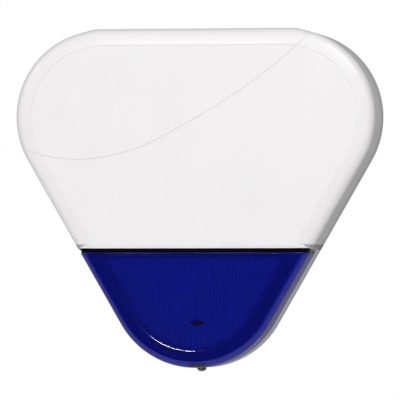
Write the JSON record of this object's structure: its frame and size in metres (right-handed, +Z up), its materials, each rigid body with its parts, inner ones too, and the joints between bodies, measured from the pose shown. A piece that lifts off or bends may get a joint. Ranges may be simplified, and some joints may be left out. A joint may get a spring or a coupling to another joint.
{
  "type": "alarm siren",
  "caption": "Outdoor alarm siren with strobe: a white rounded-triangle cover with a blue lens at its lowest corner, hinged on a backplate with sounder, boards, battery and tamper switches.",
  "frame": {"origin": "on the rear wall face, in the middle of the triangle of the three wall fixings", "axes": "+Z up, +X to the right seen from the front, +Y into the wall, so the front faces -Y"},
  "size_m": [0.3, 0.06, 0.2828],
  "materials": {
    "battery_sleeve": "heat-shrunk sleeve, green",
    "black_plastic": "moulded nylon, black",
    "board_laminate": "green solder mask on glass laminate",
    "brass": "turned brass",
    "capacitor_sleeve": "shrunk sleeve on aluminium can",
    "chip_resin": "moulded epoxy",
    "copper_winding": "enamelled copper wire",
    "cover_plastic": "gloss moulded ABS, white",
    "dark_plunger": "moulded acetal, near black",
    "lamp_resin": "water-clear lamp resin",
    "lens_plastic": "clear moulded polycarbonate, deep blue, fluted inside",
    "plated_screw": "zinc-plated steel, dull",
    "plug_plastic": "moulded nylon, natural",
    "reflector_metal": "bright aluminised dish",
    "relay_plastic": "moulded case, blue",
    "ribbon_sleeve": "flat ribbon cable, grey",
    "rubber": "moulded rubber",
    "spring_steel": "drawn spring wire",
    "terminal_plastic": "moulded nylon, green",
    "tinned_steel": "tinned steel strip",
    "tray_plastic": "satin moulded ABS, off-white",
    "tube_glass": "clear flash tube glass",
    "vial_acrylic": "clear acrylic with tinted fluid",
    "wire_sleeve": "insulated wire, red",
    "zinc_steel": "zinc-plated steel"
  },
  "bodies": {
    "backplate": {"backplate": "tray_plastic", "battery_bracket": "tinned_steel", "battery_lead": "wire_sleeve", "battery_pack": "battery_sleeve", "board_chips": "chip_resin", "board_screws": "zinc_steel", "boss_insert": "brass", "bracket_screws": "zinc_steel", "cable_grommet": "rubber", "capacitors": "capacitor_sleeve", "comfort_lamps": "lamp_resin", "control_board": "board_laminate", "lead_plugs": "plug_plastic", "level_vial": "vial_acrylic", "piezo_disc": "brass", "rear_spring": "spring_steel", "rear_switch": "black_plastic", "relay": "relay_plastic", "ribbon_plugs": "plug_plastic", "sounder_grille": "black_plastic", "sounder_housing": "black_plastic", "sounder_lead": "wire_sleeve", "sounder_screws": "zinc_steel", "step_up_coil": "copper_winding", "strobe_board": "board_laminate", "strobe_reflector": "reflector_metal", "strobe_ribbon": "ribbon_sleeve", "strobe_screws": "zinc_steel", "strobe_tube": "tube_glass", "tamper_spring": "spring_steel", "tamper_switch": "black_plastic", "terminal_block": "terminal_plastic", "terminal_screws": "zinc_steel", "tube_caps": "tinned_steel"},
    "cover": {"cover": "cover_plastic", "lens": "lens_plastic", "lens_screws": "zinc_steel", "screw_retainer": "rubber"},
    "cover_screw": {"cover_screw": "plated_screw"},
    "front_plunger": {"tamper_plunger": "dark_plunger"},
    "rear_plunger": {"rear_plunger": "black_plastic"}
  },
  "joints": [
    {"name": "cover_swing", "type": "hinge", "parent": "backplate", "child": "cover", "pos_m": [0, -0.0032, 0.11552], "axis": [-1, 0, 0], "range_deg": [0, 80]},
    {"name": "cover_screw_travel", "type": "slide", "parent": "cover", "child": "cover_screw", "axis": [0, 0, 1], "range_m": [0, 0.0065]},
    {"name": "front_plunger_travel", "type": "slide", "parent": "backplate", "child": "front_plunger", "axis": [0, 1, 0], "range_m": [0, 0.0025], "stiffness_N_per_m": 400, "springref_m": -0.002, "deforming": ["tamper_spring"]},
    {"name": "rear_plunger_travel", "type": "slide", "parent": "backplate", "child": "rear_plunger", "axis": [0, 1, 0], "range_m": [0, 0.003], "stiffness_N_per_m": 400, "deforming": ["rear_spring"]}
  ]
}
